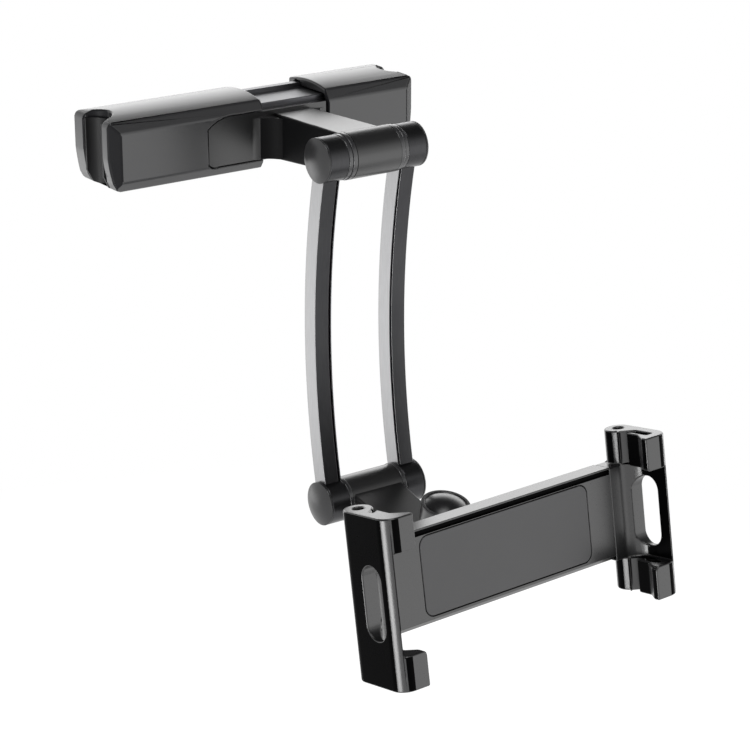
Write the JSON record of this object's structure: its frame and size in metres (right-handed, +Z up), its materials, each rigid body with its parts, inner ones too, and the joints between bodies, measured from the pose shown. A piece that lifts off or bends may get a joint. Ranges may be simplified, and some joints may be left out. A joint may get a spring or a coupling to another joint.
{
  "type": "headrest tablet mount",
  "caption": "Tablet holder that clamps between a car headrest's posts, with a sliding jaw, twin bowed links, a swivel tongue and a spring-loaded cradle.",
  "frame": {"origin": "on the line that joins the two headrest posts, at the clamp's mid height, in the middle plane of the arm", "axes": "+X towards the sliding jaw, -Y towards the rear passenger, +Z up along the posts"},
  "size_m": [0.1832, 0.2311, 0.2135],
  "materials": {
    "housing_plastic": "moulded, fine grain",
    "liner_rubber": "soft, matt",
    "black_aluminium": "black anodised, satin",
    "arm_plastic": "glass-filled, satin",
    "cap_plastic": "smooth, half gloss",
    "washer_nylon": "turned nylon",
    "steel": "turned, blackened where seen",
    "cradle_plastic": "moulded, satin",
    "panel_plastic": "spark-eroded grain"
  },
  "bodies": {
    "base": {"left_housing": "housing_plastic", "left_liner": "liner_rubber", "rail": "black_aluminium", "arm": "arm_plastic", "base_screw": "steel", "upper_step_washer_left": "washer_nylon", "upper_step_washer_right": "washer_nylon"},
    "sliding_jaw": {"right_jaw": "housing_plastic", "right_liner": "liner_rubber", "slide_bar": "black_aluminium"},
    "links": {"left_link": "black_aluminium", "right_link": "black_aluminium", "upper_axle": "steel", "lower_axle": "steel", "upper_cap_left": "cap_plastic", "upper_cap_right": "cap_plastic", "lower_cap_left": "cap_plastic", "lower_cap_right": "cap_plastic", "upper_thin_washer_left": "washer_nylon", "upper_thin_washer_right": "washer_nylon"},
    "tongue": {"tongue": "arm_plastic", "swivel_pin": "steel", "lower_washer_left": "washer_nylon", "lower_washer_right": "washer_nylon"},
    "swivel_head": {"swivel_head": "arm_plastic", "lock_ring": "arm_plastic", "head_cap": "cap_plastic"},
    "ball_stud": {"ball_stud": "steel"},
    "cradle": {"cradle_body": "cradle_plastic", "front_panel": "panel_plastic", "hub": "cradle_plastic"},
    "left_bracket": {"left_bracket": "cradle_plastic"},
    "right_bracket": {"right_bracket": "cradle_plastic"}
  },
  "joints": [
    {"name": "jaw_slide", "type": "slide", "parent": "base", "child": "sliding_jaw", "axis": [1, 0, 0], "range_m": [0, 0.03]},
    {"name": "arm_hinge", "type": "hinge", "parent": "base", "child": "links", "pos_m": [0, -0.07715, 0.0024], "axis": [1, 0, 0], "range_deg": [-120, 25]},
    {"name": "tongue_hinge", "type": "hinge", "parent": "links", "child": "tongue", "pos_m": [0, -0.07715, -0.1626], "axis": [1, 0, 0], "range_deg": [-15, 75]},
    {"name": "head_swivel", "type": "hinge", "parent": "tongue", "child": "swivel_head", "pos_m": [0, -0.13349, -0.17458], "axis": [0, -0.2079, 0.9781], "range_deg": [-40, 40]},
    {"name": "ball_tilt", "type": "hinge", "parent": "swivel_head", "child": "ball_stud", "pos_m": [0.00082, -0.14849, -0.16161], "axis": [0.9977, 0.0665, 0.0141], "range_deg": [-7, 50]},
    {"name": "cradle_spin", "type": "hinge", "parent": "ball_stud", "child": "cradle", "pos_m": [0.00082, -0.14849, -0.16161], "axis": [0.0632, -0.9836, 0.1689], "continuous": true},
    {"name": "left_bracket_slide", "type": "slide", "parent": "cradle", "child": "left_bracket", "axis": [-0.998, -0.0636, 0.0031], "range_m": [0, 0.045], "stiffness_N_per_m": 120, "springref_m": -0.03},
    {"name": "right_bracket_slide", "type": "slide", "parent": "cradle", "child": "right_bracket", "axis": [0.998, 0.0636, -0.0031], "range_m": [0, 0.045], "stiffness_N_per_m": 120, "springref_m": -0.03}
  ]
}
